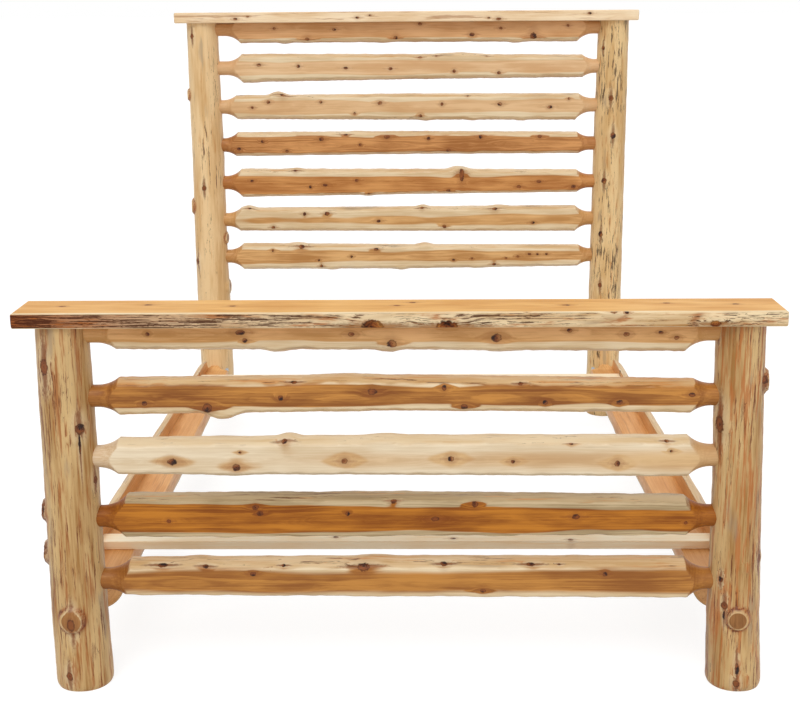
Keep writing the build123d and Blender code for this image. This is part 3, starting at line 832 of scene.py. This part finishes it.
def build_cross_rail(name, rail, height, pair, seed):
    middle, ends, flares = rail_span(rail, height, pair)
    half, room = rail.thickness / 2, pair[0].height - height
    x = rail_stations(ends, flares)[:, None]
    y, z, crowned = rail_section(rail, x, flares[1], room, seed)
    cut = np.minimum(1, flare(x, flares) / np.hypot(y, z))
    y, z = y * cut, np.minimum(z * cut, room)
    rings = np.stack((x + 0 * y, y, z), axis=-1)
    rng = np.random.default_rng(seed + 700)
    knots = [face_knot(rng, half, middle - posts_middle, *knot) for knot in rail.knots]
    knots += stray_knots(rng, flares, half)
    return ring_piece("wood", "sawn", name, rings, knots, axes_at((middle, pair[0].y, height)),
                      rail.look, seed,
                      heart=rail_heart(rail, (x / flares[1] + 1) / 2, y, z),
                      skin=smooth(0.0, 0.3, np.abs(crowned)) * (cut > 0.999),
                      turned=smooth(1.0, 0.97, cut),
                      # painted shade: the lower live edge turns brown towards its underside, partly inner
                      # bark and partly shade where it faces down
                      bark=0.9 * np.maximum(-crowned, 0) ** 4)


def build_cross_rails(end, rails, y, lowest, seed):
    """One end's rails: evenly spaced from the lowest one's height up to the one under the cap."""
    pair = [post for post in posts if post.y == y]
    rise = pair[0].height - top_rail_drop - lowest
    steps = len(rails) - 1
    return [build_cross_rail("%s_rail_%d" % (end, n + 1), rail,
                             lowest + rise * (steps - n) / steps + rail.lift, pair, seed + n)
            for n, rail in enumerate(rails)]


# ---- side rails ----
# the heartwood colours are the wood's own orange, made lighter as painted light for the shade inside the bed
side_look = Look(("#EDB878", "#CE8F50"), ("#EFDAB2", "#D8B888"), ("#D9B886", "#B98E5A"),
                 streak="#8A4C20", tints=0.5, streaks=0.35, veins=0.45)


def side_line(side):
    """A side rail's axis where it meets the posts' centre lines, foot and head."""
    pair = [next(post for post in posts if post.side == side and post.y == y) for y in (foot_y, head_y)]
    return ([post.middle(side_rail_height) for post in pair],
            [float(post.radius(side_rail_height)) for post in pair])


def rabbet_section(x, size, rabbet, seed):
    """A log's Y and Z with a rabbet, the outside at +Y: round the log from the ledge's lip to the
    wall's top, down the wall and in along the ledge. Also how much of it is the log's own skin."""
    ledge = np.where(rabbet, ledge_rise, size)
    lip = np.sqrt(np.maximum(size ** 2 - ledge ** 2, 0))
    wall = np.minimum(wall_offset, lip)
    wall_top = np.sqrt(np.maximum(size ** 2 - wall ** 2, 0))
    first, last = np.arctan2(ledge, -lip), np.arctan2(wall_top, wall)
    sweep = np.linspace(0, 1, log_points)
    turn = first + (last + 2 * math.pi - first) * sweep
    dents = 0.5 * ripple(seed + 1, x, turn, (300, 140, 80), (2, 3, 5))
    bulk = size + np.where((size > tenon_radius + 12) & (sweep > 0) & (sweep < 1), dents, 0)
    down = np.linspace(0, 1, wall_points)[1:]
    inward = np.linspace(0, 1, ledge_points)[1:-1]
    y = np.concatenate((bulk * np.cos(turn), wall + 0 * down, wall + (-lip - wall) * inward), axis=1)
    z = np.concatenate((bulk * np.sin(turn), wall_top + (ledge - wall_top) * down, ledge + 0 * inward),
                       axis=1)
    # the inner side is dressed flat below the ledge, so the heartwood shows there too
    return y, z, np.concatenate((smooth(0.09, 0.12, sweep), 0 * down, 0 * inward))


def build_side_rail(node, side, radii, seed):
    """A round log with a rabbet along its inner top."""
    (start, finish), (foot_radius, head_radius) = side_line(side)
    length = (finish - start).length
    flares = (foot_radius + side_shoulder_gap, length - head_radius - side_shoulder_gap)
    x = rail_stations((-tenon_past_centre, length + tenon_past_centre), flares)[:, None]
    full = np.interp(x, (0, length / 2, length), radii)
    size = np.minimum(full + 0.8 * ripple(seed, x, 0, (640, 330, 150), (0,)), flare(x, flares))
    rabbet = (x > flares[0] - 1) & (x < flares[1] + 1)
    y, z, outside = rabbet_section(x, size, rabbet, seed)
    outward = -side  # local Y is the bed's left, so the right rail's outside is at -Y
    y = outward * y
    if outward < 0:
        y, z, outside = y[:, ::-1], z[:, ::-1], outside[::-1]
    rings = np.stack((x + 0 * y, y, z), axis=-1)
    skin = outside * (size >= full - 4)
    heart = size - 8.0 - np.hypot(y, z) + 20 * (1 - skin)
    knots = [Knot(380 + 370 * n, 90 - 90 * outward + outward * (-35 + 28 * n), 9) for n in range(5)]
    knots += [Knot(560 + 520 * n, 90, 6, base=(-outward * (8 + 12 * n), 0.0)) for n in range(3)]
    along = (finish - start).normalized()
    placement = axes_at(start, along, Vector((0, 0, 1)).cross(along))
    return ring_piece("log", "peeled", node, rings, knots, placement, side_look, seed, heart=heart,
                      skin=skin, turned=1 - smooth(0, 4, size - flare(x, flares) + 4))


# ---- boards: the caps and the slats ----
head_cap_look = Look(("#E6C494", "#CFA473"), ("#F4DDBA", "#E0BE92"), ("#EFDAB2", "#DDBC88"),
                     streak="#A0673A", veins=0.6)
foot_cap_look = Look(("#E9B56A", "#CF934A"), ("#F0DDB6", "#DFC190"), ("#EED6AC", "#B0844E"),
                     tint="#A85C1E", tints=0.5, streak="#421A08", streaks=0.66, dash=0.012, thin=0.33,
                     veins=0.2, gloss=0.1)
# painted light: the slats' heartwood colours are lifted nearly to white to make up for the shade the foot
# rails cast on them
slat_look = Look(("#FFF3D6", "#FAE0B6"), ("#EEDFC0", "#D9C095"), ("#EEDFC0", "#D9C095"))

# knots in the boards: (place, place across, radius, tone)
head_top_knots = ((-560, -20, 6, 0.6), (-180, 30, 7, 0.5), (240, -35, 6, 0.6), (530, 15, 7, 0.5))
head_front_knots = ((-620, 14, 4, 0.5), (-575, 22, 3, 0.4), (-176, 16, 4, 0.7), (-130, 24, 3, 0.6),
                    (300, 12, 3, 0.6), (336, 8, 5, 0.6), (665, 26, 4, 0.7))
foot_top_knots = ((-755, 8, 4.9, 0.5), (-565, 20, 5.6, 0.6), (-375, 6, 4.9, 0.5), (-10, 5, 4.9, 0.5),
                  (25, 36, 4.9, 0.5), (365, 4, 5.6, 0.6), (590, 21, 4.9, 0.5), (740, 8, 4.9, 0.5))
foot_front_knots = ((-60, 2, 17, 0.6), (100, 0, 18, 0.5), (461, 38, 7, 0.3), (273, 36, 3, 0.9),
                    (488, 33, 3, 1.2), (679, 8, 8, 0.5))
# the caps' branches start far below the top and far behind the front edge, so they run straight out
top_branch_start, front_branch_start = -300.0, -60.0

# the foot cap's live edge: (place from -1 to 1, how far it stands out)
edge_waves = ((-1, 0), (-0.6, 1.5), (-0.2, 0.5), (-0.09, 2), (0.02, 0), (0.12, 1.5), (0.24, 0),
              (0.55, 1), (0.84, 2), (1, 0))
# (place, height, half the width, 1 where its right side is the dark one and -1 where its left is)
burls = ((-62, 8, 42, -1), (98, 8, 46, 1), (463, 36, 26, 1), (680, 12, 44, -1))
edge_limit = 5.6  # how far the edge may stand out and stay inside the CAD model's box


def board_rings(x, back, front, thickness, edge, front_shape=None):
    """A board's section: front face, top, back face and bottom, with its edges rubbed round."""
    rim = np.linspace(0, 1, rim_points)
    flat = np.linspace(0, 1, flat_points)
    along = np.zeros(x.shape)
    side_z = along + edge + (thickness - 2 * edge) * rim
    top_y = along + front + edge + (back - front - 2 * edge) * flat
    front_y = front + 0 * side_z
    if front_shape is not None:
        front_y = front_y + front_shape(side_z)
    y = np.concatenate((front_y, top_y, back + 0 * side_z, top_y[:, ::-1]), axis=1)
    z = np.concatenate((side_z, thickness + 0 * top_y, side_z[:, ::-1], 0 * top_y), axis=1)
    return np.stack((x + 0 * y, y, z), axis=-1)


def board_stations(half, rub, margin, count):
    """Places of the rings. The first and the last one are for the rubbed ends."""
    inset = np.array((0, rub))
    even = np.linspace(margin - half, half - margin, count)
    return np.concatenate((-half + inset, even, half - inset[::-1]))[:, None]


def rub_ends(rings, half, depth, thickness, rub):
    """Draws a board's two end rings in, so its end arrises are rubbed round too."""
    ends = np.abs(rings[:, 0, 0]) > half - 1
    middle = np.array((0, 0, thickness / 2))
    rings[ends] = middle + (rings[ends] - middle) * (1, 1 - rub / (depth / 2), 1 - rub / middle[2])


def cap_knots(top, front, top_long, front_long, shift=0.0):
    """Knots in a cap's top and in its front edge."""
    upward = [Knot(place + shift, 90, size, tone, top_long, (row, top_branch_start))
              for place, row, size, tone in top]
    forward = [Knot(place + shift, 180, size, tone, front_long, (front_branch_start, row))
               for place, row, size, tone in front]
    return upward + forward


def build_head_cap(seed):
    low, high = corners("head_cap")
    half, depth, thickness = (high.x - low.x) / 2, high.y - low.y, high.z - low.z
    x = board_stations(half, 3, 12, 150)
    worn = 0.25 * ripple(seed, x, 0, (400, 170, 90), (0,)) - 0.3
    rings = board_rings(x, depth / 2 + worn, -depth / 2 - worn, thickness, 3.0)
    rub_ends(rings, half, depth, thickness, 3)
    knots = cap_knots(head_top_knots, head_front_knots, 1.0, 1.6)
    return ring_piece("board", "planed", "head_cap", rings, knots,
                      axes_at((caps_middle, head_y, low.z)), head_cap_look, seed, heart=all_sap)


def burl_reach(place, height, burl, level, width):
    """How far a point of the live edge lies from a burl's middle, in its widths."""
    return np.hypot((place - burl - cap_shift) / width, (height - level) / (0.62 * width))


def live_front(x, half, thickness, seed):
    """The function that gives how far the foot cap's front stands back at each height."""
    bulge = np.interp(x / half, *zip(*edge_waves))
    bulge = np.convolve(np.pad(bulge[:, 0], 6, mode="edge"), np.hanning(13) / 6, "valid")[:, None]

    def shape(height):
        share = height / thickness
        belly = -1.2 + 2.4 * share * (1 - share) * 1.6
        dents = ripple(seed + 3, x, 2.5 * share, (150, 70, 38, 22), (0, 1, 2))
        lump = 0
        for *burl, _ in burls:
            reach = burl_reach(x, height, *burl)
            lump = lump + np.exp(-reach ** 2) * (6.5 + 1.1 * np.sin(7 * reach))
        return -np.minimum(bulge + belly + lump, edge_limit) + 1.3 * np.abs(dents)

    return shape


def cap_bark(x, z, half):
    """Bark left on the live edge: most of it towards the left, and a dark curve beside each burl."""
    bark = np.interp(x / half, (-1, -0.75, -0.5, 0, 1), (1.0, 0.7, 0.35, 0.1, 0.0)) + 0 * z
    for burl, level, width, dark_side in burls:
        reach = burl_reach(x, z, burl, level, width)
        beside = smooth(-0.3, 0.7, dark_side * (x - burl - cap_shift) / width)
        bark = np.maximum(bark, 0.6 * beside * np.exp(-((reach - 1.05) / 0.2) ** 2))
    return bark


def build_foot_cap(seed):
    """A board whose front edge is the log's own skin, with swells where branches were."""
    low, high = corners("foot_cap")
    half, thickness = (high.x - low.x) / 2, high.z - low.z
    x = board_stations(half, 2.5, 8, 320)
    rings = board_rings(x, cap_depth / 2, -cap_depth / 2, thickness, 2.5,
                        live_front(x, half, thickness, seed))
    rub_ends(rings, half, cap_depth, thickness, 2)
    skin = np.arange(rings.shape[1]) < rim_points
    knots = cap_knots(foot_top_knots, foot_front_knots, 1.3, 1.2, cap_shift)
    return ring_piece("board", "planed", "foot_cap", rings, knots,
                      axes_at((caps_middle, foot_y, low.z)), foot_cap_look, seed,
                      heart=rings[..., 1] + cap_depth / 2 - 11, skin=skin,
                      bark=cap_bark(x, rings[..., 2], half))


def build_slat(n, seed):
    node = "slat_%d" % (n + 1)
    low, high = corners(node)
    half, depth = (high.x - low.x) / 2, high.y - low.y
    x = np.linspace(-half, half, 180)[:, None]
    rings = board_rings(x, depth / 2, -depth / 2, high.z - low.z, 1.5)
    knots = [Knot(-480 + 300 * k + 40 * n, 90, 6, 0.6, 1.0, (10.0 - 9 * k, -100.0)) for k in range(4)]
    return ring_piece("board", "planed", node, rings, knots,
                      axes_at(((low.x + high.x) / 2, (low.y + high.y) / 2, low.z)), slat_look, seed,
                      heart=all_heart)


# ---- dowels and screws ----
def dowel_wood(tree, shader):
    """Turned birch: pale, with fine fibres up each dowel."""
    fibres = tree.noise(tree.millimetres(), 0.9, 0.9, 4.0, up=0.02)
    tree.put(tree.mix(tree.step(fibres, 0.35, 0.65), linear("#C9A877"), linear("#E6CFA2")),
             shader["Base Color"])
    tree.put(tree.step(fibres, 0.3, 0.7, 0.7, 0.55), shader["Roughness"])


def screw_steel(tree, shader):
    """Zinc plate: pale grey and faintly mottled."""
    mottle = tree.noise(tree.millimetres(), 0.3, 0.3, 4.0)
    tree.put(tree.mix(tree.step(mottle, 0.3, 0.7), linear("#A9ABAD"), linear("#C9CACB")),
             shader["Base Color"])
    tree.put(tree.step(mottle, 0.3, 0.7, 0.42, 0.28), shader["Roughness"])
    tree.put(1.0, shader["Metallic"])


def dress_cad_node(node, name, fill):
    """Keeps a CAD node's own shape, in a better material."""
    tree, shader = new_material(name)
    fill(tree, shader)
    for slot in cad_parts[node].material_slots:
        slot.material = tree.owner


def build_bed():
    pieces = [build_post(post, 10 + n) for n, post in enumerate(posts)]
    pieces += build_cross_rails("head", head_rails, head_y, head_rail_lowest, 20)
    pieces += build_cross_rails("foot", foot_rails, foot_y, foot_rail_lowest, 40)
    pieces.append(build_side_rail("side_rail_left", -1, (75, 70, 62), 60))
    pieces.append(build_side_rail("side_rail_right", 1, (68.5, 70.5, 65), 61))
    pieces += [build_head_cap(70), build_foot_cap(71)]
    pieces += [build_slat(n, 80 + n) for n in range(3)]
    dress_cad_node("cap_dowels", "turned_dowel", dowel_wood)
    dress_cad_node("rail_lock_screws", "zinc_plate", screw_steel)


# ---- studio ----
camera_place = (0.04501, -3.94224, 1.54590)
camera_yaw, camera_pitch, camera_roll = -0.015861, -0.252613, -0.007092
camera_lens, camera_sensor = 59.64, 36.0

floor_size = 600.0
floor_grey = (0.7, 0.7, 0.7, 1)  # what lights the bed from below
shadow_grey = (0.3, 0.3, 0.3, 1)  # what shows the bed's shadow, under the glow
floor_glow = 0.8
world_light = 0.52

# wide, far lamps, so both ends of the bed get the same light: direction, spread in degrees, power
lamps = {"key": ((-0.25, -0.62, 0.75), 35, 1.4),
         "fill": ((0.55, -0.79, 0.26), 60, 0.65),
         "top": ((0.15, 0.55, 0.82), 60, 0.6)}


def build_camera():
    camera = new_object("camera", bpy.data.cameras.new("camera"))
    camera.data.sensor_width = camera_sensor
    camera.data.sensor_fit = "HORIZONTAL"
    camera.data.lens = camera_lens
    camera.matrix_world = (Matrix.Translation(camera_place)
                           @ Matrix.Rotation(-camera_yaw, 4, "Z")
                           @ Matrix.Rotation(math.pi / 2 + camera_pitch, 4, "X")
                           @ Matrix.Rotation(camera_roll, 4, "Z"))
    bpy.context.scene.camera = camera


def build_lamp(name, toward, spread, power):
    lamp = new_object(name, bpy.data.lights.new(name, "SUN"))
    lamp.data.angle = math.radians(spread)
    lamp.data.energy = power
    lamp.rotation_euler = Vector(toward).to_track_quat("Z", "Y").to_euler()


def white_ground(tree, lit, seen, output):
    """seen for the rays that should find a white ground, camera, glossy and transmission, else lit."""
    path = tree.outputs("LightPath", {})
    camera, glossy, through = [Value(tree, path["Is %s Ray" % kind])
                               for kind in ("Camera", "Glossy", "Transmission")]
    direct = tree.math("MAXIMUM", tree.math("MAXIMUM", camera, glossy), through)
    tree.put(tree.add("MixShader", {0: direct, 1: lit, 2: seen}), tree.nodes[output].inputs["Surface"])


def build_floor():
    bpy.ops.mesh.primitive_plane_add(size=floor_size)
    floor = bpy.context.object
    floor.name = "floor"
    tree = Tree(bpy.data.materials.new("white_floor"))
    tree.nodes.remove(tree.nodes["Principled BSDF"])
    lit = tree.add("BsdfDiffuse", {"Color": floor_grey})
    shadowed = tree.add("BsdfDiffuse", {"Color": shadow_grey})
    glow = tree.add("Emission", {"Strength": floor_glow})
    white_ground(tree, lit, tree.add("AddShader", {0: shadowed, 1: glow}), "Material Output")
    floor.data.materials.append(tree.owner)


def build_world():
    tree = Tree(bpy.data.worlds.new("studio"))
    tree.nodes.remove(tree.nodes["Background"])
    around, white = [tree.add("Background", {"Color": (1, 1, 1, 1), "Strength": strength})
                     for strength in (world_light, 1.0)]
    white_ground(tree, around, white, "World Output")
    bpy.context.scene.world = tree.owner


build_bed()
build_camera()
build_floor()
build_world()
for name, settings in lamps.items():
    build_lamp(name, *settings)
bpy.context.scene.view_settings.view_transform = "Standard"
